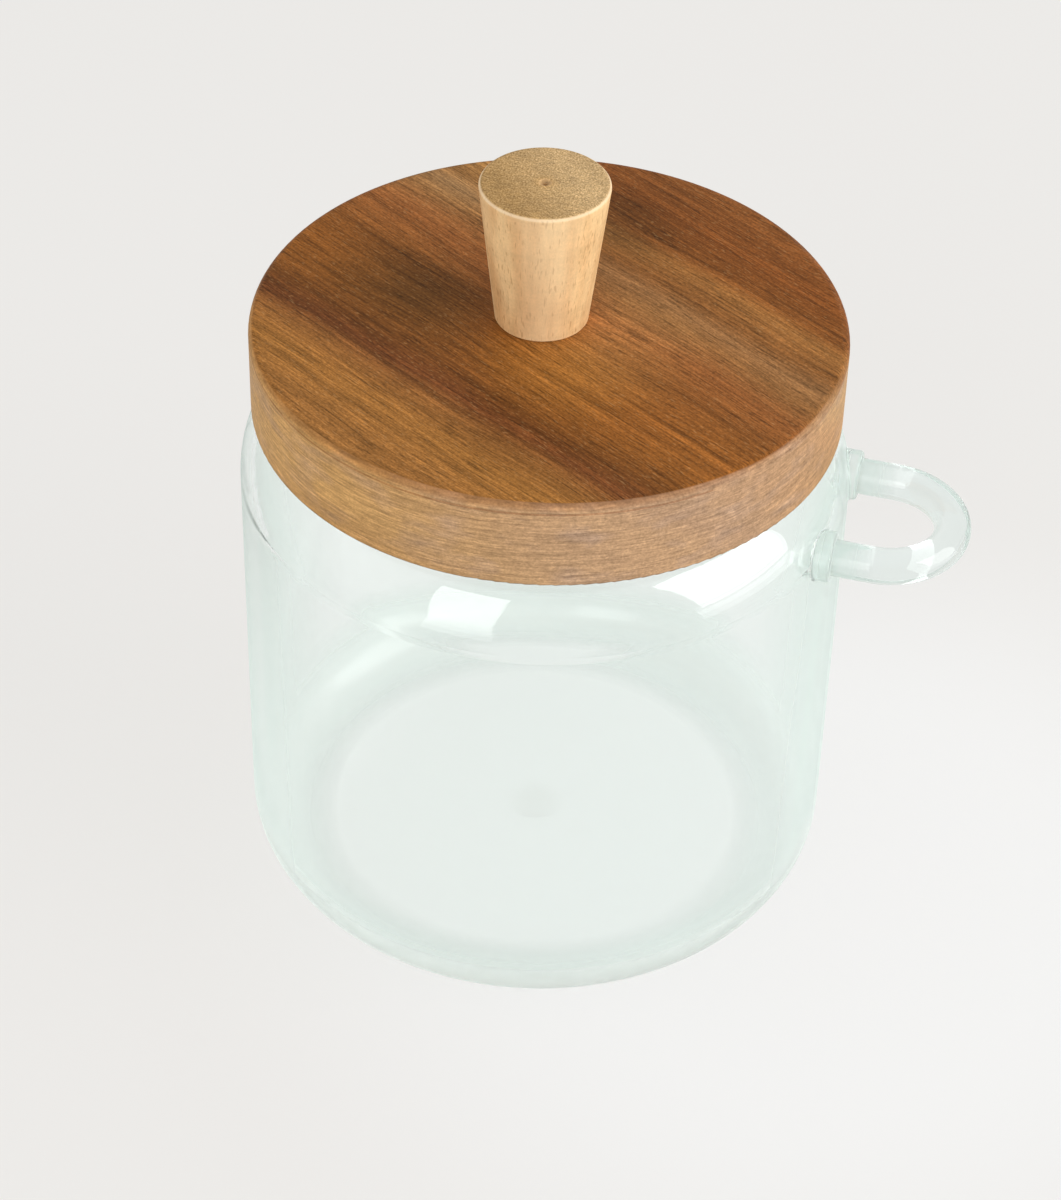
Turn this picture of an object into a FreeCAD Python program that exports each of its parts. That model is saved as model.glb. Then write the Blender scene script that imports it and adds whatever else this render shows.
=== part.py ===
"""Glass storage jar with a turned wooden lid and a glass spoon loop.

Millimetres, +Z up. The origin is the middle of the jar's flat bottom, and the
spoon loop points along +X. Every size is a named cell of the sheet "Sizes", and
the sheet "Fits" works out from them what one piece takes from another.
"""
import FreeCAD, Part
import math
import os
import Sketcher

# Alias, value, what it is.
SIZES = [
    ("glassDiameter", 105.5, "outside of the straight wall"),
    ("glassHeight", 97.2, "flat bottom to the ground rim"),
    ("wall", 2.4, "blown wall and shoulder"),
    ("floorThick", 3.2, "bottom"),
    ("heelRound", 10.2, "outside round between bottom and wall"),
    ("shoulderRound", 15.0, "outside round between wall and rim"),
    ("rimGrind", 0.3, "ground off the shoulder's crown, which leaves the flat rim"),
    ("rimWidth", 2.2, "flat ground rim round the mouth"),
    ("rimPolish", 0.5, "fire-polished edges of the mouth"),
    ("moundDiameter", 11.0, "low mound in the middle of the floor"),
    ("moundRise", 0.6, "how far the mound stands above the floor"),
    ("loopDrop", 14.0, "rim down to the middle of the loop's rod"),
    ("loopReach", 21.8, "wall to the loop's outer tip"),
    ("loopSpan", 23.2, "between the middles of the two legs"),
    ("rodDiameter", 6.3, "solid glass rod of the loop"),
    ("collarSwell", 1.2, "how far the end of each leg is pressed out round the rod, at the weld"),
    ("collarStand", 1.1, "wall to that collar's front, on the side nearer the loop's middle"),
    ("collarRound", 0.6, "rounded front edge of the collar"),
    ("weldRound", 0.45, "glass run out between the collar and the wall"),
    ("lidInset", 2.25, "outside of the wall to the lid's side"),
    ("lidThick", 15.9, "rim to the lid's top face"),
    ("lidTopRound", 1.5, "eased top edge"),
    ("lidUnderRound", 0.4, "eased bottom edge"),
    ("spigotDepth", 7.5, "how far the spigot enters the mouth"),
    ("spigotPlay", 0.8, "gap all round between spigot and mouth"),
    ("spigotRound", 0.8, "eased lower edge of the spigot"),
    ("knobTopDiameter", 22.0, "wide upper end"),
    ("knobFootDiameter", 15.8, "narrow lower end"),
    ("knobHeight", 26.4, "lid's top face to the knob's top"),
    ("knobTopRound", 0.7, "eased top edge"),
    ("knobFootRound", 0.3, "eased lower edge"),
    ("knobShiftX", -1.7, "knob's middle from the lid's middle, towards the loop"),
    ("knobShiftY", 1.1, "the same, across"),
    ("centreMarkDiameter", 2.2, "mark of the lathe's centre in the knob's top"),
    ("centreMarkDepth", 0.6, "depth of that mark"),
]
# Alias, formula, what it is.
FITS = [
    ("outerRadius", "=Sizes.glassDiameter / 2", "outside of the wall"),
    ("innerRadius", "=outerRadius - Sizes.wall", "inside of the wall"),
    ("innerHeel", "=Sizes.heelRound - Sizes.wall", "inside round between floor and wall"),
    ("innerShoulder", "=Sizes.shoulderRound - Sizes.wall", "inside round between wall and mouth"),
    ("crownHeight", "=Sizes.glassHeight + Sizes.rimGrind - Sizes.shoulderRound",
     "where the wall turns into the shoulder"),
    ("crownRadius", "=outerRadius - Sizes.shoulderRound", "axis to the middle of the shoulder's arc"),
    ("mouthRadius", "=crownRadius - Sizes.rimWidth"
     " + sqrt(Sizes.shoulderRound ^ 2 - (Sizes.shoulderRound - Sizes.rimGrind) ^ 2)",
     "clear opening, inside the ground rim"),
    ("lipHeight", "=crownHeight + sqrt(innerShoulder ^ 2 - (mouthRadius - crownRadius) ^ 2)",
     "where the inner shoulder meets the mouth"),
    ("loopHeight", "=Sizes.glassHeight - Sizes.loopDrop", "middle of the loop's rod"),
    ("halfSpan", "=Sizes.loopSpan / 2", "middle of the loop to the middle of a leg"),
    ("rodRadius", "=Sizes.rodDiameter / 2", "the loop's rod"),
    ("legRoot", "=innerRadius - Sizes.rodDiameter", "where each leg starts, inside the wall"),
    ("loopBend", "=outerRadius + Sizes.loopReach - rodRadius - halfSpan", "middle of the loop's half ring"),
    ("collarRadius", "=rodRadius + Sizes.collarSwell", "pressed end of a leg"),
    ("collarFront", "=sqrt(outerRadius ^ 2 - (halfSpan - collarRadius) ^ 2) + Sizes.collarStand",
     "front of the collar, from where it leaves the wall"),
    ("lidRadius", "=outerRadius - Sizes.lidInset", "turned lid"),
    ("spigotRadius", "=mouthRadius - Sizes.spigotPlay", "the lid's spigot"),
    ("lidTop", "=Sizes.glassHeight + Sizes.lidThick", "top face of the lid, which carries the knob"),
]
ORIGIN, X_AXIS, Y_AXIS = -1, -1, -2     # how a sketch numbers its own origin and axes

doc = FreeCAD.newDocument("StorageJar")


def make_sheet(name, rows):
    """A sheet of named cells. Gives what they hold as a dictionary."""
    sheet = doc.addObject("Spreadsheet::Sheet", name)
    for row, (alias, content, note) in enumerate(rows, start=1):
        sheet.set("A%d" % row, alias)
        sheet.set("B%d" % row, str(content))
        sheet.setAlias("B%d" % row, alias)
        sheet.set("C%d" % row, note)
    doc.recompute()
    return {alias: float(sheet.get(alias)) for alias, _, _ in rows}


SIZE = make_sheet("Sizes", SIZES)
FIT = make_sheet("Fits", FITS)


def new_body(name):
    body = doc.addObject("PartDesign::Body", name)
    body.Label = name
    return body


def origin_plane(body, role):
    return next(feature for feature in body.Origin.OriginFeatures if feature.Role == role)


def new_sketch(body, name, role, lift=None, shift=None):
    """A sketch on one of the body's own planes, lifted off it and shifted along its Y."""
    sketch = body.newObject("Sketcher::SketchObject", name)
    sketch.AttachmentSupport = [(origin_plane(body, role), "")]
    sketch.MapMode = "FlatFace"
    if lift:
        sketch.setExpression("AttachmentOffset.Base.z", lift)
    if shift:
        sketch.setExpression("AttachmentOffset.Base.y", shift)
    return sketch


class Outline:
    """Lines and arcs of a sketch, joined end to end, with sizes driven by the sheet.

    The numbers given to line and arc only draw the first guess: the constraints
    and the dimensions hold the shape.
    """

    def __init__(self, sketch, x, y):
        self.sketch = sketch
        self.here = FreeCAD.Vector(x, y, 0)
        self.begin = None
        self.ends = []

    def line(self, x, y, hold=None, smooth=False):
        there = FreeCAD.Vector(x, y, 0)
        index = self.sketch.addGeometry(Part.LineSegment(self.here, there), False)
        self._add(index, 1, 2, there, smooth)
        if hold:
            self.rule(hold, index)
        return index

    def arc(self, cx, cy, radius, from_deg, to_deg, smooth=False):
        """An arc about (cx, cy); from_deg above to_deg runs clockwise."""
        low, high = sorted((math.radians(from_deg), math.radians(to_deg)))
        circle = Part.Circle(FreeCAD.Vector(cx, cy, 0), FreeCAD.Vector(0, 0, 1), radius)
        index = self.sketch.addGeometry(Part.ArcOfCircle(circle, low, high), False)
        there = FreeCAD.Vector(cx + radius * math.cos(math.radians(to_deg)),
                               cy + radius * math.sin(math.radians(to_deg)), 0)
        first, last = (1, 2) if to_deg > from_deg else (2, 1)
        self._add(index, first, last, there, smooth)
        return index

    def _add(self, index, first, last, there, smooth):
        """Join the new element to the last one, as a corner or smoothly."""
        if self.ends:
            self.rule("Tangent" if smooth else "Coincident", *self.ends[-1], index, first)
        else:
            self.begin = (index, first)
        self.ends.append((index, last))
        self.here = there

    def close(self):
        self.rule("Coincident", *self.ends[-1], *self.begin)

    def rule(self, kind, *where):
        return self.sketch.addConstraint(Sketcher.Constraint(kind, *where))

    def size(self, kind, name, expression, *where):
        """A named dimension; a distance without a second point is from the origin."""
        if kind == "Radius":
            now = self.sketch.Geometry[where[0]].Radius
        else:
            if len(where) == 2:
                where = (ORIGIN, 1) + where
            span = self.sketch.getPoint(*where[2:]) - self.sketch.getPoint(*where[:2])
            now = span.x if kind == "DistanceX" else span.y
        index = self.rule(kind, *where, now)
        self.sketch.renameConstraint(index, name)
        self.sketch.setExpression("Constraints." + name, expression)


def turn(body, kind, name, sketch, axis="V_Axis"):
    """A full turn of the sketch: PartDesign::Revolution adds, PartDesign::Groove cuts."""
    feature = body.newObject(kind, name)
    feature.Profile = sketch
    feature.ReferenceAxis = (sketch, [axis])
    feature.Angle = 360.0
    doc.recompute()
    return feature


def round_edges(body, name, base, edges, radius):
    if not edges:
        raise RuntimeError(name + ": no edge to round")
    feature = body.newObject("PartDesign::Fillet", name)
    feature.Base = (base, edges)
    feature.setExpression("Radius", radius)
    doc.recompute()
    return feature


def named_edges(shape):
    """Each edge with its name, apart from the poles of round caps."""
    for number, edge in enumerate(shape.Edges, start=1):
        if not edge.Degenerated:
            yield "Edge%d" % number, edge


def ring_edges(shape, radius, height, slack=0.01):
    """Names of the edges that are rings about the Z axis at that radius and height."""
    middle = FreeCAD.Vector(0, 0, height)
    return [name for name, edge in named_edges(shape)
            if isinstance(edge.Curve, Part.Circle)
            and abs(edge.Curve.Radius - radius) < slack
            and edge.Curve.Center.distanceToPoint(middle) < slack]


# ---------------------------------------------------------------- the glass

def jar_outside(body):
    """The outer form as one solid turn: bottom, heel, wall, shoulder and ground rim."""
    radius, crown, middle = FIT["outerRadius"], FIT["crownHeight"], FIT["crownRadius"]
    heel, shoulder = SIZE["heelRound"], SIZE["shoulderRound"]
    land = math.degrees(math.asin((shoulder - SIZE["rimGrind"]) / shoulder))

    sketch = new_sketch(body, "OuterProfile", "XZ_Plane")
    form = Outline(sketch, 0, 0)
    bottom = form.line(radius - heel, 0, "Horizontal")
    heel_arc = form.arc(radius - heel, heel, heel, -90, 0, smooth=True)
    side = form.line(radius, crown, "Vertical", smooth=True)
    shoulder_arc = form.arc(middle, crown, shoulder, 0, land, smooth=True)
    rim = form.line(0, SIZE["glassHeight"], "Horizontal")
    form.line(0, 0, "Vertical")
    form.close()
    form.rule("Coincident", bottom, 1, ORIGIN, 1)
    form.size("Radius", "heel", "Sizes.heelRound", heel_arc)
    form.size("Radius", "shoulder", "Sizes.shoulderRound", shoulder_arc)
    form.size("DistanceX", "radius", "Fits.outerRadius", side, 1)
    form.size("DistanceY", "height", "Sizes.glassHeight", rim, 2)
    form.size("DistanceY", "crown", "Fits.crownHeight", shoulder_arc, 3)
    return turn(body, "PartDesign::Revolution", "OuterForm", sketch)


def spoon_loop(body):
    """A bent rod in a level plane: two legs and a half ring. The legs start inside the solid."""
    half, bend, root = FIT["halfSpan"], FIT["loopBend"], FIT["legRoot"]

    path = new_sketch(body, "LoopPath", "XY_Plane", "Fits.loopHeight")
    form = Outline(path, root, -half)
    near = form.line(bend, -half, "Horizontal")
    tip = form.arc(bend, 0, half, -90, 90, smooth=True)
    far = form.line(root, half, "Horizontal", smooth=True)
    form.rule("PointOnObject", tip, 3, X_AXIS)
    form.rule("Vertical", near, 1, far, 2)
    form.size("Radius", "half_span", "Fits.halfSpan", tip)
    form.size("DistanceX", "bend", "Fits.loopBend", tip, 3)
    form.size("DistanceX", "root", "Fits.legRoot", near, 1)

    section = new_sketch(body, "RodSection", "YZ_Plane", "Fits.legRoot")
    middle = FreeCAD.Vector(-half, FIT["loopHeight"], 0)
    circle = Part.Circle(middle, FreeCAD.Vector(0, 0, 1), FIT["rodRadius"])
    rod = Outline(section, 0, 0)
    ring = section.addGeometry(circle, False)
    rod.size("Radius", "rod", "Fits.rodRadius", ring)
    rod.size("DistanceX", "across", "Fits.halfSpan", ring, 3, ORIGIN, 1)
    rod.size("DistanceY", "height", "Fits.loopHeight", ring, 3)

    loop = body.newObject("PartDesign::AdditivePipe", "LoopRod")
    loop.Profile = section
    loop.Spine = path
    doc.recompute()
    return loop


def leg_ends(body):
    """The pressed collar that welds one leg to the wall, then its mirror image on the other leg."""
    root, radius, front, edge = FIT["legRoot"], FIT["collarRadius"], FIT["collarFront"], SIZE["collarRound"]

    sketch = new_sketch(body, "CollarProfile", "XZ_Plane", "Fits.halfSpan", "Fits.loopHeight")
    form = Outline(sketch, root, 0)
    back = form.line(root, radius, "Vertical")
    form.line(front - edge, radius, "Horizontal")
    edge_arc = form.arc(front - edge, radius - edge, edge, 90, 0, smooth=True)
    face = form.line(front, 0, "Vertical", smooth=True)
    form.line(root, 0, "Horizontal")
    form.close()
    form.rule("PointOnObject", back, 1, X_AXIS)
    form.size("DistanceX", "root", "Fits.legRoot", back, 1)
    form.size("DistanceY", "radius", "Fits.collarRadius", back, 2)
    form.size("Radius", "edge", "Sizes.collarRound", edge_arc)
    form.size("DistanceX", "front", "Fits.collarFront", face, 2)
    collar = turn(body, "PartDesign::Revolution", "Collar", sketch, "H_Axis")

    mirrored = body.newObject("PartDesign::Mirrored", "OtherCollar")
    mirrored.Originals = [collar]
    mirrored.MirrorPlane = (origin_plane(body, "XZ_Plane"), [""])
    body.Tip = mirrored
    doc.recompute()
    return mirrored


def weld_edges(shape, slack=0.01):
    """Names of the wavy edges where the two collars leave the wall and the shoulder."""
    names = []
    for name, edge in named_edges(shape):
        wavy = not isinstance(edge.Curve, (Part.Line, Part.Circle))
        from_leg = [math.hypot(abs(at.y) - FIT["halfSpan"], at.z - FIT["loopHeight"])
                    for at in edge.discretize(7)]
        if wavy and all(abs(distance - FIT["collarRadius"]) < slack for distance in from_leg):
            names.append(name)
    return names


def jar_inside(body):
    """The hollow: mound, floor, inner heel, wall, inner shoulder and the mouth."""
    radius, floor, mouth = FIT["innerRadius"], SIZE["floorThick"], FIT["mouthRadius"]
    heel, shoulder = FIT["innerHeel"], FIT["innerShoulder"]
    crown, middle = FIT["crownHeight"], FIT["crownRadius"]
    mound, rise = SIZE["moundDiameter"] / 2, SIZE["moundRise"]
    dome = (mound ** 2 + rise ** 2) / (2 * rise)
    slope = math.degrees(math.asin(mound / dome))
    lip = math.degrees(math.acos((mouth - middle) / shoulder))

    sketch = new_sketch(body, "InnerProfile", "XZ_Plane")
    form = Outline(sketch, 0, floor + rise)
    mound_arc = form.arc(0, floor + rise - dome, dome, 90, 90 - slope)
    bottom = form.line(radius - heel, floor, "Horizontal")
    heel_arc = form.arc(radius - heel, floor + heel, heel, -90, 0, smooth=True)
    side = form.line(radius, crown, "Vertical", smooth=True)
    shoulder_arc = form.arc(middle, crown, shoulder, 0, lip, smooth=True)
    mouth_wall = form.line(mouth, SIZE["glassHeight"], "Vertical")
    top = form.line(0, SIZE["glassHeight"], "Horizontal")
    axis = form.line(0, floor + rise, "Vertical")
    form.close()
    form.rule("PointOnObject", axis, 1, Y_AXIS)
    form.rule("PointOnObject", mound_arc, 3, Y_AXIS)
    form.size("DistanceY", "floor", "Sizes.floorThick", bottom, 1)
    form.size("DistanceX", "mound", "Sizes.moundDiameter / 2", bottom, 1)
    form.size("DistanceY", "rise", "Sizes.moundRise", bottom, 1, axis, 2)
    form.size("Radius", "heel", "Fits.innerHeel", heel_arc)
    form.size("Radius", "shoulder", "Fits.innerShoulder", shoulder_arc)
    form.size("DistanceX", "radius", "Fits.innerRadius", side, 1)
    form.size("DistanceY", "crown", "Fits.crownHeight", shoulder_arc, 3)
    form.size("DistanceX", "mouth", "Fits.mouthRadius", mouth_wall, 1)
    form.size("DistanceY", "height", "Sizes.glassHeight", top, 2)
    return turn(body, "PartDesign::Groove", "Hollow", sketch)


def make_jar():
    """Jar and loop are one piece of glass; the hollow is cut last, so the legs end in the wall."""
    body = new_body("glass_jar")
    jar_outside(body)
    spoon_loop(body)
    ends = leg_ends(body)
    round_edges(body, "Welds", ends, weld_edges(ends.Shape), "Sizes.weldRound")
    hollow = jar_inside(body)
    edges = [name for height in (SIZE["glassHeight"], FIT["lipHeight"])
             for name in ring_edges(hollow.Shape, FIT["mouthRadius"], height)]
    round_edges(body, "MouthPolish", hollow, edges, "Sizes.rimPolish")
    return body


# ---------------------------------------------------------------- the wood

def make_lid():
    """A turned disc that rests on the rim, with a spigot that drops into the mouth."""
    body = new_body("lid")
    radius, thick = FIT["lidRadius"], SIZE["lidThick"]
    spigot, depth = FIT["spigotRadius"], SIZE["spigotDepth"]

    sketch = new_sketch(body, "LidProfile", "XZ_Plane")
    form = Outline(sketch, 0, thick)
    axis = form.line(0, -depth, "Vertical")
    under = form.line(spigot, -depth, "Horizontal")
    spigot_side = form.line(spigot, 0, "Vertical")
    seat = form.line(radius, 0, "Horizontal")
    side = form.line(radius, thick, "Vertical")
    form.line(0, thick, "Horizontal")
    form.close()
    form.rule("PointOnObject", axis, 1, Y_AXIS)
    form.rule("PointOnObject", seat, 1, X_AXIS)
    form.size("DistanceX", "radius", "Fits.lidRadius", side, 1)
    form.size("DistanceY", "thick", "Sizes.lidThick", side, 2)
    form.size("DistanceX", "spigot", "Fits.spigotRadius", spigot_side, 2)
    form.size("DistanceY", "depth", "Sizes.spigotDepth", under, 2, ORIGIN, 1)
    disc = turn(body, "PartDesign::Revolution", "LidForm", sketch)
    top = round_edges(body, "TopEdge", disc, ring_edges(disc.Shape, radius, thick), "Sizes.lidTopRound")
    bottom = round_edges(body, "UnderEdge", top, ring_edges(top.Shape, radius, 0), "Sizes.lidUnderRound")
    round_edges(body, "SpigotEdge", bottom, ring_edges(bottom.Shape, spigot, -depth), "Sizes.spigotRound")
    body.setExpression("Placement.Base.z", "Sizes.glassHeight")
    return body


def make_knob():
    """A turned peg, wider at the top, glued on the lid a little off its middle."""
    body = new_body("knob")
    top, foot = SIZE["knobTopDiameter"] / 2, SIZE["knobFootDiameter"] / 2
    height, mark = SIZE["knobHeight"], SIZE["centreMarkDiameter"] / 2

    sketch = new_sketch(body, "KnobProfile", "XZ_Plane")
    form = Outline(sketch, 0, 0)
    base = form.line(foot, 0, "Horizontal")
    side = form.line(top, height)
    crown = form.line(mark, height, "Horizontal")
    cone = form.line(0, height - SIZE["centreMarkDepth"])
    form.line(0, 0, "Vertical")
    form.close()
    form.rule("Coincident", base, 1, ORIGIN, 1)
    form.size("DistanceX", "foot", "Sizes.knobFootDiameter / 2", base, 2)
    form.size("DistanceX", "top", "Sizes.knobTopDiameter / 2", side, 2)
    form.size("DistanceY", "height", "Sizes.knobHeight", side, 2)
    form.size("DistanceX", "mark", "Sizes.centreMarkDiameter / 2", crown, 2)
    form.size("DistanceY", "mark_depth", "Sizes.centreMarkDepth", cone, 2, cone, 1)
    peg = turn(body, "PartDesign::Revolution", "KnobForm", sketch)
    rim = round_edges(body, "KnobTopEdge", peg, ring_edges(peg.Shape, top, height), "Sizes.knobTopRound")
    round_edges(body, "KnobFootEdge", rim, ring_edges(rim.Shape, foot, 0), "Sizes.knobFootRound")
    body.setExpression("Placement.Base.x", "Sizes.knobShiftX")
    body.setExpression("Placement.Base.y", "Sizes.knobShiftY")
    body.setExpression("Placement.Base.z", "Fits.lidTop")
    return body


# ---------------------------------------------------------------- check and write

def check(bodies):
    for item in doc.Objects:
        if "Invalid" in item.State or "Error" in item.State:
            raise RuntimeError("%s failed: %s" % (item.Name, item.State))
    for body in bodies:
        if body.Shape.isNull() or not body.Shape.isValid() or len(body.Shape.Solids) != 1:
            raise RuntimeError(body.Label + " isn't one valid solid")


def write(bodies):
    os.makedirs("parts", exist_ok=True)
    for body in bodies:
        body.Shape.exportStep("parts/%s.step" % body.Label)
        box = body.Shape.optimalBoundingBox(False)
        print("%-10s %8.0f mm3, z %.1f to %.1f, x %.1f to %.1f"
              % (body.Label, body.Shape.Volume, box.ZMin, box.ZMax, box.XMin, box.XMax))


pieces = [make_jar(), make_lid(), make_knob()]
doc.recompute()
check(pieces)
write(pieces)
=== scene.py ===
"""Looks of the glass storage jar: borosilicate glass, an oiled acacia lid and a sanded beech knob."""
import math

import bpy
from mathutils import Matrix, Vector


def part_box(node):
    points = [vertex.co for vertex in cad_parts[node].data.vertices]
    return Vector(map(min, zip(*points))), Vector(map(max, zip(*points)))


MM = 0.001                          # metres in a millimetre
COLOUR_A, COLOUR_B, MIXED = 6, 7, 2     # numbers of a Mix node's two colours and of its result

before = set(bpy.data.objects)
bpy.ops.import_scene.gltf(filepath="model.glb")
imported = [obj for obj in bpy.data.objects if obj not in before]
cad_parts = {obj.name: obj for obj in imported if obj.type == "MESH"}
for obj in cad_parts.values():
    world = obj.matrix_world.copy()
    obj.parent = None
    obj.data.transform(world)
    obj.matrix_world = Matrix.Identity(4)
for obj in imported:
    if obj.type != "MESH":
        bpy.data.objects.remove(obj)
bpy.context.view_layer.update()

lid_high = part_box("lid")[1]
knob_low, knob_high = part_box("knob")
knob_middle = (knob_low + knob_high) / 2
WALL_REACH = -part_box("glass_jar")[0].x      # from the jar's axis to the outside of its wall


def linear(hex_colour):
    """A colour written as sRGB hex, as the linear numbers that a shader takes."""
    channels = [int(hex_colour[i:i + 2], 16) / 255 for i in (1, 3, 5)]
    return tuple(c / 12.92 if c <= 0.04045 else ((c + 0.055) / 1.055) ** 2.4 for c in channels) + (1.0,)


def new_material(name):
    material = bpy.data.materials.new(name)
    material.use_nodes = True
    material.node_tree.nodes.clear()
    return material, material.node_tree


def add(tree, kind, inputs=None, stops=None, **settings):
    """Adds a node: its settings, its inputs as numbers or links, and a ramp's (place, colour) stops."""
    node = tree.nodes.new("ShaderNode" + kind)
    for name, value in settings.items():
        setattr(node, name, value)
    for name, value in (inputs or {}).items():
        if isinstance(value, bpy.types.NodeSocket):
            tree.links.new(value, node.inputs[name])
        else:
            node.inputs[name].default_value = value
    if stops:
        elements = node.color_ramp.elements
        while len(elements) < len(stops):
            elements.new(0.5)
        for element, (place, colour) in zip(elements, stops):
            element.position = place
            element.color = colour
    return node


def finish_with(tree, **ends):
    output = add(tree, "OutputMaterial")
    for name, socket in ends.items():
        tree.links.new(socket, output.inputs[name])


def figured(tree, colour, place, layers):
    """Wood figure on a colour, in layers: size in mm along x, y and z, then the lowest and highest gain."""
    for size, low, high in layers:
        shape = add(tree, "Mapping", {"Vector": place, "Scale": tuple(1 / length for length in size)})
        noise = add(tree, "TexNoise", {"Vector": shape.outputs["Vector"], "Scale": 1.0, "Detail": 2.0})
        gain = add(tree, "MapRange", {"Value": noise.outputs["Fac"], "From Min": 0.3, "From Max": 0.7,
                                      "To Min": low, "To Max": high}).outputs["Result"]
        colour = add(tree, "VectorMath", {0: colour, "Scale": gain}, operation="SCALE").outputs[0]
    return colour


# ---------------------------------------------------------------- borosilicate glass

WELD_MIDDLE = WALL_REACH + 1.5 * MM     # middle of the clouded glass where the loop is welded on


def glass_cloud(tree, place, from_axis, in_loop):
    """How milky the glass is, and how milky the heel alone makes it.

    A veil shows where the eye looks along the wall. The heel and the loop's two welds are clouded too.
    """
    facing = add(tree, "LayerWeight", {"Blend": 0.5}).outputs["Facing"]
    along = add(tree, "MapRange", {"Value": facing, "From Min": 0.5, "From Max": 1.0,
                                   "To Min": 0.015, "To Max": 0.9}).outputs["Result"]
    clearer = add(tree, "MapRange", {"Value": in_loop, "To Min": 1.0, "To Max": 0.45}).outputs["Result"]
    veiled = add(tree, "Math", {0: along, 1: clearer}, operation="MULTIPLY").outputs[0]

    outer = add(tree, "MapRange", {"Value": from_axis, "From Min": 37 * MM,
                                   "From Max": 48 * MM}).outputs["Result"]
    low = add(tree, "MapRange", {"Value": place["Z"], "From Min": 4 * MM, "From Max": 18 * MM,
                                 "To Min": 0.55, "To Max": 0.0}).outputs["Result"]
    heel = add(tree, "Math", {0: outer, 1: low}, operation="MULTIPLY").outputs[0]
    offset = add(tree, "Math", {0: place["X"], 1: WELD_MIDDLE}, operation="SUBTRACT").outputs[0]
    from_weld = add(tree, "Math", {0: offset}, operation="ABSOLUTE").outputs[0]
    weld = add(tree, "MapRange", {"Value": from_weld, "From Min": 1.5 * MM, "From Max": 6 * MM,
                                  "To Min": 0.4, "To Max": 0.0}).outputs["Result"]
    clouded = add(tree, "Math", {0: heel, 1: weld}, operation="MAXIMUM").outputs[0]
    milky = add(tree, "Math", {0: veiled, 1: clouded}, operation="MAXIMUM").outputs[0]
    return milky, heel


def borosilicate_glass():
    """Blown borosilicate, fire-polished: clear, with a milky green veil where the eye looks along the wall."""
    material, tree = new_material("borosilicate_glass")
    place = add(tree, "SeparateXYZ", {0: add(tree, "TexCoord").outputs["Object"]}).outputs
    # A solid rod shows the glass's own green more than the thin wall does.
    in_loop = add(tree, "MapRange", {"Value": place["X"], "From Min": WALL_REACH,
                                     "From Max": WALL_REACH + 1.0 * MM}).outputs["Result"]
    tint = add(tree, "Mix", {"Factor": in_loop, COLOUR_A: linear("#FCFFFE"), COLOUR_B: linear("#EEF5F3")},
               data_type="RGBA").outputs[MIXED]
    # A faint mark, 14 mm across, is left in the middle of the bottom, where the blowing iron came off.
    level = add(tree, "CombineXYZ", {"X": place["X"], "Y": place["Y"]}).outputs[0]
    from_axis = add(tree, "VectorMath", {0: level}, operation="LENGTH").outputs["Value"]
    centre = add(tree, "MapRange", {"Value": from_axis, "From Min": 1 * MM, "From Max": 7 * MM,
                                    "To Min": 0.3, "To Max": 0.0},
                 interpolation_type="SMOOTHSTEP").outputs["Result"]
    bottom = add(tree, "Math", {0: place["Z"], 1: 12 * MM}, operation="LESS_THAN").outputs[0]
    mark = add(tree, "Math", {0: centre, 1: bottom}, operation="MULTIPLY").outputs[0]
    tint = add(tree, "Mix", {"Factor": mark, COLOUR_A: tint, COLOUR_B: linear("#ECEFEB")},
               data_type="RGBA").outputs[MIXED]
    # The thick heel and the wall above it are a little wavy, so the edges there look soft.
    wavy = add(tree, "MapRange", {"Value": place["Z"], "From Min": 6 * MM, "From Max": 40 * MM,
                                  "To Min": 0.14, "To Max": 0.0}).outputs["Result"]
    clear = add(tree, "BsdfPrincipled", {
        "Base Color": tint, "Roughness": wavy, "IOR": 1.473, "Transmission Weight": 1.0})

    milky, heel = glass_cloud(tree, place, from_axis, in_loop)
    pale = add(tree, "Mix", {"Factor": heel, COLOUR_A: linear("#E2EFEB"), COLOUR_B: linear("#FEFEFD")},
               data_type="RGBA").outputs[MIXED]
    front = add(tree, "BsdfDiffuse", {"Color": pale}).outputs[0]
    back = add(tree, "BsdfTranslucent", {"Color": pale}).outputs[0]
    milk = add(tree, "MixShader", {0: 0.5, 1: front, 2: back})
    glass = add(tree, "MixShader", {0: milky, 1: clear.outputs["BSDF"], 2: milk.outputs["Shader"]})

    # Light from the lamps and the room passes straight through the glass to what lies behind it.
    path = add(tree, "LightPath").outputs
    lighting = add(tree, "Math", {0: path["Is Shadow Ray"], 1: path["Is Diffuse Ray"]},
                   operation="MAXIMUM").outputs[0]
    passing = add(tree, "BsdfTransparent", {"Color": linear("#FBFDFC")})
    surface = add(tree, "MixShader", {0: lighting, 1: glass.outputs["Shader"], 2: passing.outputs["BSDF"]})
    depth_green = add(tree, "VolumeAbsorption", {"Color": linear("#CDF2E9"), "Density": 1.4})
    finish_with(tree, Surface=surface.outputs["Shader"], Volume=depth_green.outputs["Volume"])
    return material


# ---------------------------------------------------------------- oiled acacia

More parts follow.
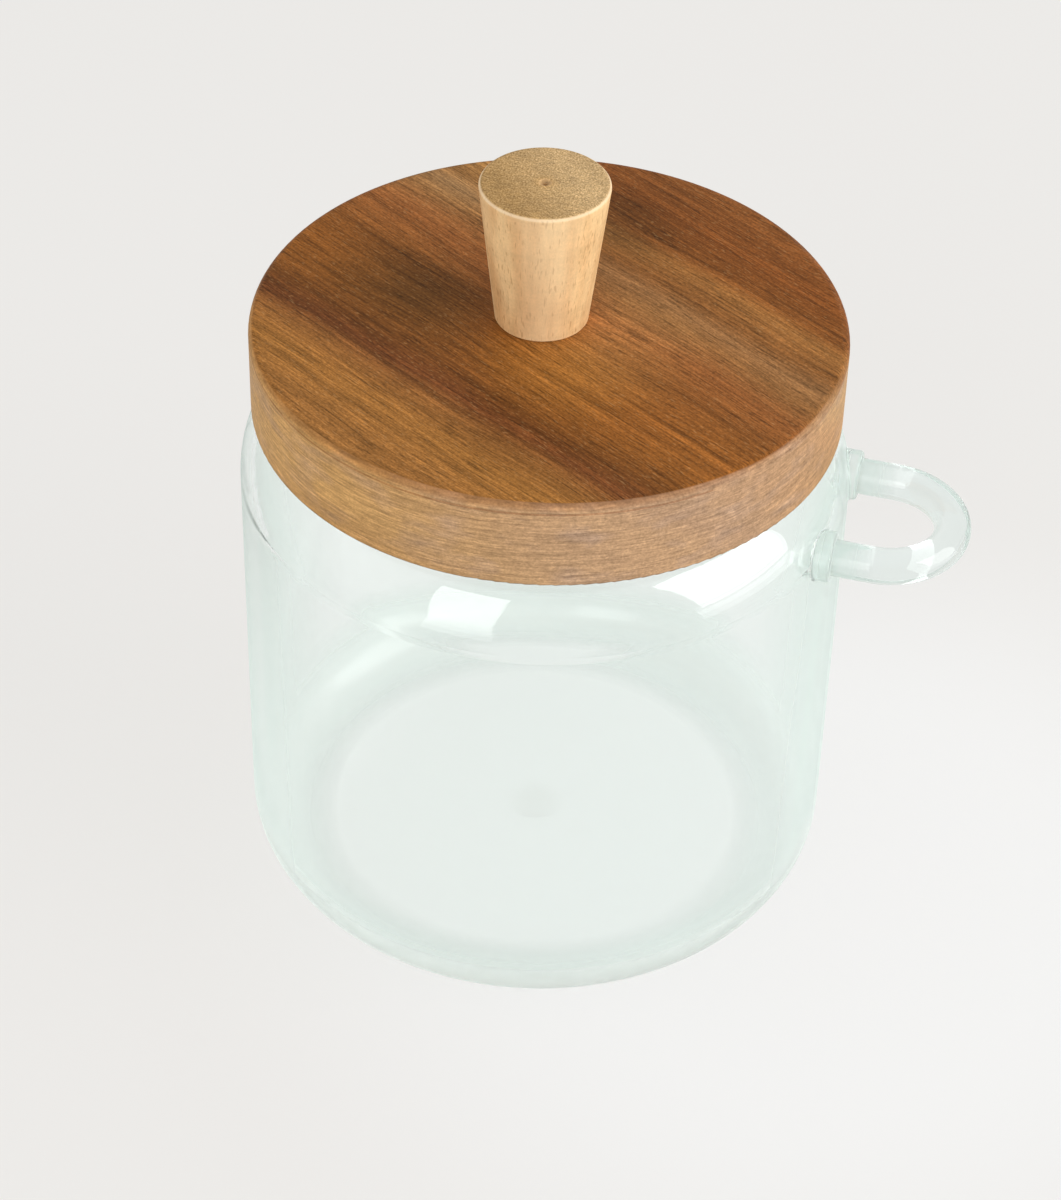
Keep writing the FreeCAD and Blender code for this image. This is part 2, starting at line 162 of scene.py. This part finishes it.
GRAIN_TURN = 31.0                   # degrees from +X down to the lid's grain
BAND_LEAN = 0.05                    # how far the broad bands lean from the fine grain
RING_SLANT = 1.5                    # millimetres that a growth ring moves across for each one it goes down
LID_RADIUS_MM = lid_high.x / MM
# The greyer tan of the bands at 13 and 17 mm is partly the board's colour and partly a painted sheen.
LID_BANDS = [                       # millimetres across the grain at the top face, colour of the oiled board
    (-75, "#8C5A2A"), (-62, "#A5743E"), (-46, "#936332"), (-36, "#9A6832"), (-31, "#8C5C2E"),
    (-27, "#6C3F20"), (-22, "#70441E"), (-16, "#8A5524"), (-9, "#8E5725"), (-3, "#825024"),
    (6, "#90592E"), (13, "#8C6036"), (17, "#90663E"), (21, "#84562C"), (26, "#946434"), (29, "#804E24"),
    (38, "#7C4820"), (50, "#804E26"),
]
# Dark clouds by the knob are partly its painted shadow; the golden one in front of it is painted bounce light.
LID_CLOUDS_AND_PAINTED_LIGHT = [                      # millimetres along and across the grain, half length, half width, gain
    (-20, -11, 27, 16, (0.5, 0.58, 0.74)), (-14, 31, 20, 14, (0.64, 0.67, 0.71)),
    (11, -1, 22, 24, (1.3, 1.54, 1.7)), (-40, 20, 18, 14, (1.4, 1.65, 1.9)),
]
ARC_CENTRE = (45.7, -21.4, -5.0)    # millimetres from the middle of the lid's top face
ARC_SPACING = 3.1                   # millimetres between growth rings there
GREY_CENTRE = (34.0, -44.0, -8.0)   # middle of the greyest part of the side
RUBBED_Y, UNRUBBED_Y = -48.0, -26.0     # millimetres in y where the rim is rubbed most and where not at all
RUBBED_FURTHER = 0.9                # millimetres that the rubbed part reaches further into the top face
OIL_EDGE = 0.6                      # millimetres from the lid's outside to the oil where nothing is rubbed


def oiled_face(tree, board, grown, bands):
    """The lid's top face, and its open pores as a height."""
    # Streaks, lines, single fibres and the grit left by sanding. Fibres and grit are really finer than
    # 0.1 mm and are drawn about three times as coarse, so that they show.
    face = figured(tree, bands, grown, [
        ((130, 6, 6), 1.02, 1.26), ((60, 1.9, 1.9), 0.84, 1.15), ((30, 0.65, 0.65), 0.8, 1.18),
        ((8, 0.28, 0.28), 0.74, 1.28), ((0.5, 0.3, 0.3), 0.74, 1.28)])
    # Long red-brown lines, then open pores, which are dark dashes 4 mm long.
    for length, width, depth in ((28, 0.55, 0.72), (4, 0.35, 0.62)):
        shape = add(tree, "Mapping", {"Vector": grown, "Scale": (1 / length, 1 / width, 1 / width)})
        pores = add(tree, "TexNoise", {"Vector": shape.outputs["Vector"], "Scale": 1.0, "Detail": 1.0})
        open_pore = add(tree, "MapRange", {"Value": pores.outputs["Fac"], "From Min": 0.6, "From Max": 0.7,
                                           "To Min": 1.0, "To Max": depth}).outputs["Result"]
        face = add(tree, "VectorMath", {0: face, "Scale": open_pore}, operation="SCALE").outputs[0]
    # Dark clouds left of the knob and behind it are partly darker heartwood and partly painted shadow of the
    # knob;
    # the golden cloud in front of it is painted light bounced off the knob, and another golden one lies at the
    # back left.
    for along, across, half_length, half_width, gain in LID_CLOUDS_AND_PAINTED_LIGHT:
        spot = add(tree, "VectorMath", {0: board, 1: (along, across, 0.0)}, operation="SUBTRACT").outputs[0]
        spread = add(tree, "VectorMath", {0: spot, 1: (1 / half_length, 1 / half_width, 0.0)},
                     operation="MULTIPLY").outputs[0]
        away = add(tree, "VectorMath", {0: spread}, operation="LENGTH").outputs["Value"]
        near = add(tree, "MapRange", {"Value": away, "From Min": 0.0, "From Max": 1.0, "To Min": 1.0,
                                      "To Max": 0.0}, interpolation_type="SMOOTHSTEP").outputs["Result"]
        face = add(tree, "Mix", {"Factor": near, COLOUR_A: face, COLOUR_B: gain + (1.0,)},
                   data_type="RGBA", blend_type="MULTIPLY").outputs[MIXED]
    # Raised fibres here and there show as short bright hairs along the grain, which are painted glints.
    shape = add(tree, "Mapping", {"Vector": grown, "Scale": (1 / 1.2, 1 / 0.24, 1 / 0.24),
                                  "Location": (9, 5, 3)}).outputs["Vector"]
    hairs = add(tree, "TexNoise", {"Vector": shape, "Scale": 1.0, "Detail": 0.0}).outputs["Fac"]
    painted_glints = add(tree, "MapRange", {"Value": hairs, "From Min": 0.66, "From Max": 0.8,
                                    "To Max": 0.22}).outputs["Result"]
    face = add(tree, "Mix", {"Factor": painted_glints, COLOUR_A: face, COLOUR_B: linear("#D8A870")},
               data_type="RGBA").outputs[MIXED]
    return face, open_pore


def turned_side(tree, turned, grown, bands):
    """The lid's side took up less oil: paler, greyer in places, with fine rings left by the lathe tool."""
    side = add(tree, "VectorMath", {0: bands, 1: (0.8, 0.9, 0.9), 2: (0.28, 0.175, 0.078)},
               operation="MULTIPLY_ADD").outputs[0]
    shape = add(tree, "Mapping", {"Vector": turned, "Scale": (1 / 9, 1 / 9, 1 / 4)}).outputs["Vector"]
    patches = add(tree, "TexNoise", {"Vector": shape, "Scale": 1.0, "Detail": 2.0}).outputs["Fac"]
    patchy = add(tree, "MapRange", {"Value": patches, "From Min": 0.5, "From Max": 0.75,
                                    "To Max": 0.4}).outputs["Result"]
    away = add(tree, "VectorMath", {0: turned, 1: GREY_CENTRE}, operation="DISTANCE").outputs["Value"]
    greyest = add(tree, "MapRange", {"Value": away, "From Min": 12.0, "From Max": 62.0, "To Min": 0.62,
                                    "To Max": 0.0}, interpolation_type="SMOOTHSTEP").outputs["Result"]
    greyed = add(tree, "Math", {0: patchy, 1: greyest}, operation="ADD").outputs[0]
    side = add(tree, "Mix", {"Factor": greyed, COLOUR_A: side, COLOUR_B: linear("#B2937A")},
               data_type="RGBA").outputs[MIXED]
    # Rings left by the lathe tool, then sanding grit, which is drawn coarser than it is.
    side = figured(tree, side, turned, [
        ((14, 14, 0.4), 0.82, 1.14), ((3, 3, 0.26), 0.8, 1.18), ((0.4, 0.4, 0.3), 0.84, 1.14)])
    side = figured(tree, side, grown, [((9, 0.6, 0.6), 0.86, 1.1)])

    # Growth rings show as pale arcs on the right of the front.
    arc = add(tree, "VectorMath", {0: turned, 1: ARC_CENTRE}, operation="DISTANCE").outputs["Value"]
    turns = add(tree, "Math", {0: arc, 1: math.tau / ARC_SPACING}, operation="MULTIPLY").outputs[0]
    wave = add(tree, "Math", {0: turns}, operation="SINE").outputs[0]
    fade = add(tree, "MapRange", {"Value": arc, "From Min": 8.0, "From Max": 20.0, "To Min": 0.06,
                                  "To Max": 0.0}, interpolation_type="SMOOTHSTEP").outputs["Result"]
    ripple = add(tree, "Math", {0: wave, 1: fade, 2: 1.0}, operation="MULTIPLY_ADD").outputs[0]
    return add(tree, "VectorMath", {0: side, "Scale": ripple}, operation="SCALE").outputs[0]


def where_oiled(tree, turned, upward):
    """1 where the oil is kept: the top face, part of the eased rim at the sides and all of it behind."""
    flat = add(tree, "Mapping", {"Vector": turned, "Scale": (1, 1, 0)}).outputs["Vector"]
    from_middle = add(tree, "VectorMath", {0: flat}, operation="LENGTH").outputs["Value"]
    depth = add(tree, "SeparateXYZ", {0: turned}).outputs["Y"]
    # In front the rim is rubbed pale, and a little way into the top face as well.
    worn = add(tree, "MapRange", {"Value": depth, "From Min": RUBBED_Y, "From Max": UNRUBBED_Y,
                                  "To Min": 1.0, "To Max": 0.0}).outputs["Result"]
    steep = add(tree, "Math", {0: worn, 1: -0.35, 2: upward}, operation="MULTIPLY_ADD").outputs[0]
    oiled = add(tree, "MapRange", {"Value": steep, "From Min": 0.44, "From Max": 0.52}).outputs["Result"]
    edge = add(tree, "Math", {0: worn, 1: -RUBBED_FURTHER, 2: LID_RADIUS_MM - OIL_EDGE},
               operation="MULTIPLY_ADD").outputs[0]
    inside = add(tree, "Math", {0: edge, 1: from_middle}, operation="SUBTRACT").outputs[0]
    kept = add(tree, "MapRange", {"Value": inside, "From Min": -0.15, "From Max": 0.15}).outputs["Result"]
    oiled = add(tree, "Math", {0: oiled, 1: kept}, operation="MULTIPLY").outputs[0]
    # At the back the oil runs right over the eased rim.
    behind = add(tree, "MapRange", {"Value": depth, "From Min": -14.0, "From Max": 4.0}).outputs["Result"]
    eased = add(tree, "MapRange", {"Value": upward, "From Min": 0.04, "From Max": 0.3}).outputs["Result"]
    behind = add(tree, "Math", {0: behind, 1: eased}, operation="MULTIPLY").outputs[0]
    return add(tree, "Math", {0: oiled, 1: behind}, operation="MAXIMUM").outputs[0]


def oiled_acacia():
    """A sawn and oiled acacia board: red-brown and golden bands along the grain, fine fibres, open pores."""
    material, tree = new_material("oiled_acacia")
    place = add(tree, "TexCoord").outputs["Object"]
    from_top = add(tree, "VectorMath", {0: place, 1: (0, 0, lid_high.z)}, operation="SUBTRACT").outputs[0]
    turned = add(tree, "VectorMath", {0: from_top, "Scale": 1 / MM}, operation="SCALE").outputs[0]
    board = add(tree, "Mapping", {"Vector": turned, "Rotation": (0, 0, math.radians(GRAIN_TURN))}).outputs[0]

    # Grain wanders a few millimetres from straight over a hand's breadth.
    slow = add(tree, "Mapping", {"Vector": board, "Scale": (1 / 80, 1 / 30, 1 / 30)}).outputs["Vector"]
    wander = add(tree, "TexNoise", {"Vector": slow, "Scale": 1.0, "Detail": 2.0}).outputs["Color"]
    centred = add(tree, "VectorMath", {0: wander, 1: (0.5, 0.5, 0.5)}, operation="SUBTRACT").outputs[0]
    sway = add(tree, "VectorMath", {0: centred, 1: (0.0, 7.0, 5.0)}, operation="MULTIPLY").outputs[0]
    grown = add(tree, "VectorMath", {0: board, 1: sway}, operation="ADD").outputs[0]

    # Growth rings slant down through the board, so the ends of the grain show them as slanting bands.
    ring = add(tree, "VectorMath", {0: grown, 1: (-BAND_LEAN, 1.0, RING_SLANT)},
               operation="DOT_PRODUCT").outputs["Value"]
    first, last = LID_BANDS[0][0], LID_BANDS[-1][0]
    share = add(tree, "MapRange", {"Value": ring, "From Min": first, "From Max": last}).outputs["Result"]
    bands = add(tree, "ValToRGB", {"Fac": share}, stops=[
        ((at - first) / (last - first), linear(colour)) for at, colour in LID_BANDS]).outputs["Color"]

    face, open_pore = oiled_face(tree, board, grown, bands)
    side = turned_side(tree, turned, grown, bands)

    # The eased rim is pale with a faint dark line below it, and painted shade darkens the downward-facing
    # bottom edge.
    upward = add(tree, "SeparateXYZ", {0: add(tree, "NewGeometry").outputs["Normal"]}).outputs["Z"]
    rim = add(tree, "ValToRGB", {"Fac": upward}, stops=[
        (0.02, linear("#FFFFFF")), (0.06, linear("#E6DAD4")), (0.2, linear("#E6DAD4")),
        (0.3, linear("#FFFFFF")), (0.75, linear("#F4E6DA")), (1.0, linear("#E6D4C6"))]).outputs["Color"]
    side = add(tree, "VectorMath", {0: side, 1: rim}, operation="MULTIPLY").outputs[0]
    shade_under = add(tree, "MapRange", {"Value": upward, "From Min": -0.4, "From Max": -0.05, "To Min": 0.55,
                                   "To Max": 1.0}).outputs["Result"]
    side = add(tree, "VectorMath", {0: side, "Scale": shade_under}, operation="SCALE").outputs[0]
    oiled = where_oiled(tree, turned, upward)
    colour = add(tree, "Mix", {"Factor": oiled, COLOUR_A: side, COLOUR_B: face},
                 data_type="RGBA").outputs[MIXED]

    bump = add(tree, "Bump", {"Height": open_pore, "Strength": 0.3, "Distance": 0.1 * MM}).outputs["Normal"]
    wood = add(tree, "BsdfPrincipled", {"Base Color": colour, "Roughness": 0.5, "IOR": 1.48,
                                        "Specular IOR Level": 0.06, "Normal": bump})
    finish_with(tree, Surface=wood.outputs["BSDF"])
    return material


# ---------------------------------------------------------------- sanded beech

SHEEN_SIDE = (0.3, -0.95, 0.0)      # the way that the knob's painted sheen faces
SHADED_SIDE = (-0.75, -0.6, 0.0)      # the way that the painted shade on its end grain falls
MARK_RAMP_MM = 5.0                  # radius at the end of the centre mark's ramp


def peg_side(tree, peg):
    """The knob's side: long grain with short red-brown flecks, and a painted sheen in front."""
    shape = add(tree, "Mapping", {"Vector": peg, "Scale": (1 / 4, 1 / 4, 1 / 26)}).outputs["Vector"]
    cloud = add(tree, "TexNoise", {"Vector": shape, "Scale": 1.0, "Detail": 1.0}).outputs["Fac"]
    colour = add(tree, "ValToRGB", {"Fac": cloud},
                 stops=[(0.3, linear("#E0B27C")), (0.6, linear("#F3CD97"))]).outputs["Color"]
    # Lines down the peg, faint rings from the lathe tool, and sanding grit drawn coarser than it is.
    colour = figured(tree, colour, peg, [
        ((0.6, 0.6, 18), 0.93, 1.05), ((14, 14, 0.9), 0.96, 1.03), ((9, 9, 4), 0.94, 1.04),
        ((0.3, 0.3, 0.5), 0.94, 1.05)])
    # Short red-brown flecks are beech's medullary rays.
    shape = add(tree, "Mapping", {"Vector": peg, "Scale": (1 / 0.3, 1 / 0.3, 1 / 2.2)}).outputs["Vector"]
    rays = add(tree, "TexNoise", {"Vector": shape, "Scale": 1.0, "Detail": 0.0}).outputs["Fac"]
    fleck = add(tree, "MapRange", {"Value": rays, "From Min": 0.65, "From Max": 0.77, "To Max": 0.45})
    colour = add(tree, "Mix", {"Factor": fleck.outputs["Result"], COLOUR_A: colour,
                               COLOUR_B: linear("#A8703F")}, data_type="RGBA").outputs[MIXED]

    # A painted sheen lies pale on the side that faces the front.
    outward = add(tree, "NewGeometry").outputs["Normal"]
    facing_sheen = add(tree, "VectorMath", {0: outward, 1: SHEEN_SIDE},
                       operation="DOT_PRODUCT").outputs["Value"]
    painted_sheen = add(tree, "MapRange", {"Value": facing_sheen, "From Min": 0.8, "From Max": 1.0,
                                    "To Max": 0.3}).outputs["Result"]
    return add(tree, "Mix", {"Factor": painted_sheen, COLOUR_A: colour, COLOUR_B: linear("#FFE6BE")},
               data_type="RGBA").outputs[MIXED]


def end_grain(tree, peg, grains):
    """The knob's top: darker and speckled, with painted shade on the side away from the light, and a pale ring
    round the centre mark.
    """
    end = add(tree, "ValToRGB", {"Fac": grains}, stops=[
        (0.3, linear("#987B50")), (0.5, linear("#BFA172")), (0.7, linear("#E4C798"))]).outputs["Color"]
    end = figured(tree, end, peg, [((5, 5, 5), 0.88, 1.12), ((1.6, 0.7, 0.7), 0.84, 1.16)])
    split = add(tree, "SeparateXYZ", {0: peg}).outputs
    # Painted shade dulls the front left of the top, and painted light brightens its back right.
    away_from_light = add(tree, "VectorMath", {0: peg, 1: SHADED_SIDE}, operation="DOT_PRODUCT").outputs["Value"]
    away_from_light = add(tree, "MapRange", {"Value": away_from_light, "From Min": -5.0, "From Max": 7.0}).outputs["Result"]
    painted_light = add(tree, "Mix", {"Factor": away_from_light, COLOUR_A: (1.2, 1.2, 1.25, 1.0),
                              COLOUR_B: (0.88, 0.79, 0.65, 1.0)}, data_type="RGBA").outputs[MIXED]
    end = add(tree, "VectorMath", {0: end, 1: painted_light}, operation="MULTIPLY").outputs[0]
    level = add(tree, "CombineXYZ", {"X": split["X"], "Y": split["Y"]}).outputs[0]
    radius = add(tree, "VectorMath", {0: level}, operation="LENGTH").outputs["Value"]
    share = add(tree, "Math", {0: radius, 1: MARK_RAMP_MM}, operation="DIVIDE").outputs[0]
    mark = add(tree, "ValToRGB", {"Fac": share}, stops=[
        (0.0, linear("#8C7050")), (0.1, linear("#B09878")), (0.2, linear("#FFF4E4")),
        (0.34, linear("#FCF6EC")), (0.5, linear("#F6F2EC"))]).outputs["Color"]
    return add(tree, "VectorMath", {0: end, 1: mark}, operation="MULTIPLY").outputs[0]


def sanded_beech():
    """Turned and sanded beech: pale, with short red-brown flecks on the side and speckled end grain."""
    material, tree = new_material("sanded_beech")
    place = add(tree, "TexCoord").outputs["Object"]
    middle = Vector((knob_middle.x, knob_middle.y, knob_high.z))
    centred = add(tree, "VectorMath", {0: place, 1: middle}, operation="SUBTRACT").outputs[0]
    peg = add(tree, "VectorMath", {0: centred, "Scale": 1 / MM}, operation="SCALE").outputs[0]
    upward = add(tree, "SeparateXYZ", {0: add(tree, "NewGeometry").outputs["Normal"]}).outputs["Z"]
    on_top = add(tree, "MapRange", {"Value": upward, "From Min": 0.7, "From Max": 0.95}).outputs["Result"]

    colour = peg_side(tree, peg)
    # Beech's pores are finer than 0.1 mm and are drawn 0.3 mm wide, so that they show.
    grains = add(tree, "TexNoise", {"Vector": peg, "Scale": 1 / 0.3, "Detail": 2.0}).outputs["Fac"]
    end = end_grain(tree, peg, grains)
    # A painted highlight lies pale along the eased edge between them.
    half = (0.5, 0.5, 0.5, 1)
    edge = add(tree, "ValToRGB", {"Fac": upward}, stops=[
        (0.1, (0, 0, 0, 1)), (0.4, half), (0.8, half), (0.95, (0, 0, 0, 1))]).outputs["Color"]
    colour = add(tree, "Mix", {"Factor": edge, COLOUR_A: colour, COLOUR_B: linear("#F4DFBE")},
                 data_type="RGBA").outputs[MIXED]
    colour = add(tree, "Mix", {"Factor": on_top, COLOUR_A: colour, COLOUR_B: end},
                 data_type="RGBA").outputs[MIXED]
    bump = add(tree, "Bump", {"Height": grains, "Strength": 0.25, "Distance": 0.12 * MM}).outputs["Normal"]
    wood = add(tree, "BsdfPrincipled", {"Base Color": colour, "Roughness": 0.62, "IOR": 1.45,
                                        "Specular IOR Level": 0.15, "Normal": bump})
    finish_with(tree, Surface=wood.outputs["BSDF"])
    return material


# ---------------------------------------------------------------- stage

BACKGROUND = "#EFEDEA"              # pale sweep, which glass shows too
SIDE_WINDOW = dict(azimuth=-2, elevation=25, distance=1.4, width=1.05, height=1.15, power=13)
FRONT_WINDOW = dict(azimuth=-103, elevation=22, distance=1.5, width=0.62, height=1.2, power=6.2)
FILL_STRENGTH = 0.66                # light of the room from all round, on everything but the backdrop
FLOOR_RADIUS = 6.0                  # metres
FLOOR_DROP = 0.1 * MM               # keeps the paper clear of the jar's foot
GLOW_NEAR_JAR = 0.74               # share of the paper's brightness that glows instead of being lit, near the jar
FADE_START, FADE_END = 0.5, 1.6     # metres from the jar over which the paper fades into the backdrop
PAINTED_POOL_CENTRE = (55 * MM, -5 * MM, 0)     # middle of the painted pool of light, the whitest part of the paper
PAINTED_POOL_START, PAINTED_POOL_END = 45 * MM, 125 * MM    # where that painted light starts to grey, and where it has ended
MIRROR_FROM = 0.42                  # metres from the jar at which the windows' mirror images start
MIRROR_STRENGTH = 2.4               # brightness of those images
LAMP_AIM = 60 * MM                  # height on the jar that the lamps face


def seen_through_glass(tree):
    """1 on rays that come straight from the camera or by way of glass."""
    path = add(tree, "LightPath").outputs
    seen = add(tree, "Math", {0: path["Is Camera Ray"], 1: path["Is Glossy Ray"]},
               operation="MAXIMUM").outputs[0]
    return add(tree, "Math", {0: seen, 1: path["Is Transmission Ray"]}, operation="MAXIMUM").outputs[0]


def room():
    world = bpy.data.worlds.new("pale_room")
    world.use_nodes = True
    tree = world.node_tree
    tree.nodes.clear()
    fill = add(tree, "Background", {"Color": linear("#FFFFFF"), "Strength": FILL_STRENGTH}).outputs[0]
    backdrop = add(tree, "Background", {"Color": linear(BACKGROUND), "Strength": 1.0}).outputs[0]
    mixed = add(tree, "MixShader", {0: seen_through_glass(tree), 1: fill, 2: backdrop}).outputs[0]
    output = add(tree, "OutputWorld")
    tree.links.new(mixed, output.inputs["Surface"])
    bpy.context.scene.world = world


def matt_white_paper():
    """Matt white paper that glows in part, with a painted pool of light by the jar, fading into the backdrop
    far away.
    """
    material, tree = new_material("matt_white_paper")
    place = add(tree, "TexCoord").outputs["Object"]
    reach = add(tree, "VectorMath", {0: place}, operation="LENGTH").outputs["Value"]
    far = add(tree, "MapRange", {"Value": reach, "From Min": FADE_START, "From Max": FADE_END,
                                 "To Min": GLOW_NEAR_JAR},
              interpolation_type="SMOOTHSTEP").outputs["Result"]
    glow = add(tree, "Math", {0: far, 1: seen_through_glass(tree)}, operation="MULTIPLY").outputs[0]
    paper = add(tree, "BsdfDiffuse", {"Color": linear("#EAE9E7")}).outputs[0]
    # A painted pool of light makes the paper whitest by the jar and on its right, and whiter still through the
    # glass.
    from_light_pool = add(tree, "VectorMath", {0: place, 1: PAINTED_POOL_CENTRE}, operation="DISTANCE").outputs["Value"]
    greyer = add(tree, "MapRange", {"Value": from_light_pool, "From Min": PAINTED_POOL_START, "From Max": PAINTED_POOL_END},
                 interpolation_type="SMOOTHSTEP").outputs["Result"]
    bent = add(tree, "LightPath").outputs["Is Transmission Ray"]
    evener = add(tree, "MapRange", {"Value": bent, "To Min": 1.0, "To Max": 0.35}).outputs["Result"]
    greyer = add(tree, "Math", {0: greyer, 1: evener}, operation="MULTIPLY").outputs[0]
    painted_light = add(tree, "Mix", {"Factor": greyer, COLOUR_A: linear("#F8F8F7"), COLOUR_B: linear(BACKGROUND)},
                data_type="RGBA").outputs[MIXED]
    through = add(tree, "MapRange", {"Value": bent, "To Min": 1.0, "To Max": 1.05}).outputs["Result"]
    backdrop = add(tree, "Emission", {"Color": painted_light, "Strength": through}).outputs[0]
    surface = add(tree, "MixShader", {0: glow, 1: paper, 2: backdrop}).outputs[0]

    # Each window also has a painted mirror image in the paper, a glowing patch which shows in reflections
    # alone.
    at = add(tree, "SeparateXYZ", {0: place}).outputs
    azimuth = add(tree, "Math", {0: at["Y"], 1: at["X"]}, operation="ARCTAN2").outputs[0]
    outside = add(tree, "Math", {0: reach, 1: MIRROR_FROM}, operation="GREATER_THAN").outputs[0]
    glossy = add(tree, "LightPath").outputs["Is Glossy Ray"]
    mirrored = add(tree, "Math", {0: outside, 1: glossy}, operation="MULTIPLY").outputs[0]
    for window in (SIDE_WINDOW, FRONT_WINDOW):
        half_turn = math.atan(window["width"] / 2 / window["distance"])
        within = add(tree, "Math", {0: azimuth, 1: math.radians(window["azimuth"]), 2: half_turn},
                     operation="COMPARE").outputs[0]
        image = add(tree, "Math", {0: within, 1: mirrored}, operation="MULTIPLY").outputs[0]
        painted_reflection = add(tree, "Emission", {"Color": linear("#FFFFFF"), "Strength": MIRROR_STRENGTH}).outputs[0]
        surface = add(tree, "MixShader", {0: image, 1: surface, 2: painted_reflection}).outputs[0]
    finish_with(tree, Surface=surface)
    return material


def paper_floor():
    material = matt_white_paper()
    bpy.ops.mesh.primitive_circle_add(vertices=96, radius=FLOOR_RADIUS, fill_type="NGON",
                                      location=(0, 0, -FLOOR_DROP))
    floor = bpy.context.object
    floor.name = "paper_floor"
    floor.data.materials.append(material)


def direction(azimuth, elevation):
    a, e = math.radians(azimuth), math.radians(elevation)
    return Vector((math.cos(a) * math.cos(e), math.sin(a) * math.cos(e), math.sin(e)))


def softbox(name, azimuth, elevation, distance, width, height, power):
    """A soft lamp that stands in that direction from the jar and faces it."""
    light = bpy.data.lights.new(name, "AREA")
    light.shape = "RECTANGLE"
    light.size, light.size_y = width, height
    light.energy = power
    lamp = bpy.data.objects.new(name, light)
    away = direction(azimuth, elevation)
    lamp.location = Vector((0, 0, LAMP_AIM)) + away * distance
    lamp.rotation_mode = "QUATERNION"
    lamp.rotation_quaternion = away.to_track_quat("Z", "Y")
    bpy.context.scene.collection.objects.link(lamp)


def stand_camera():
    """Stands in front, a little to the loop's side, and looks down on the lid."""
    azimuth, elevation, roll = -75.84, 40.43, 1.6
    lens_mm, distance = 100.1, 601.8 * MM
    aim = Vector((-2.2, 1.0, 50.0)) * MM
    data = bpy.data.cameras.new("camera")
    data.lens, data.sensor_width = lens_mm, 36.0
    data.clip_start, data.clip_end = 0.01, 50.0
    camera = bpy.data.objects.new("camera", data)
    away = direction(azimuth, elevation)
    turn = away.to_track_quat("Z", "Y").to_matrix() @ Matrix.Rotation(math.radians(roll), 3, "Z")
    camera.matrix_world = Matrix.Translation(aim + away * distance) @ turn.to_4x4()
    bpy.context.scene.collection.objects.link(camera)
    bpy.context.scene.camera = camera


# ---------------------------------------------------------------- the object

def finish_node(name, material):
    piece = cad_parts[name]
    for slot in piece.material_slots:
        slot.material = material


finish_node("glass_jar", borosilicate_glass())
finish_node("lid", oiled_acacia())
finish_node("knob", sanded_beech())

room()
paper_floor()
softbox("side_window", **SIDE_WINDOW)
softbox("front_window", **FRONT_WINDOW)
stand_camera()

# A ray crosses the jar's walls and the loop's rod many times before it ends.
MOST_BOUNCES = 64
bpy.context.scene.view_settings.view_transform = "Standard"
bpy.context.scene.cycles.max_bounces = MOST_BOUNCES
bpy.context.scene.cycles.transmission_bounces = MOST_BOUNCES
bpy.context.scene.cycles.glossy_bounces = MOST_BOUNCES
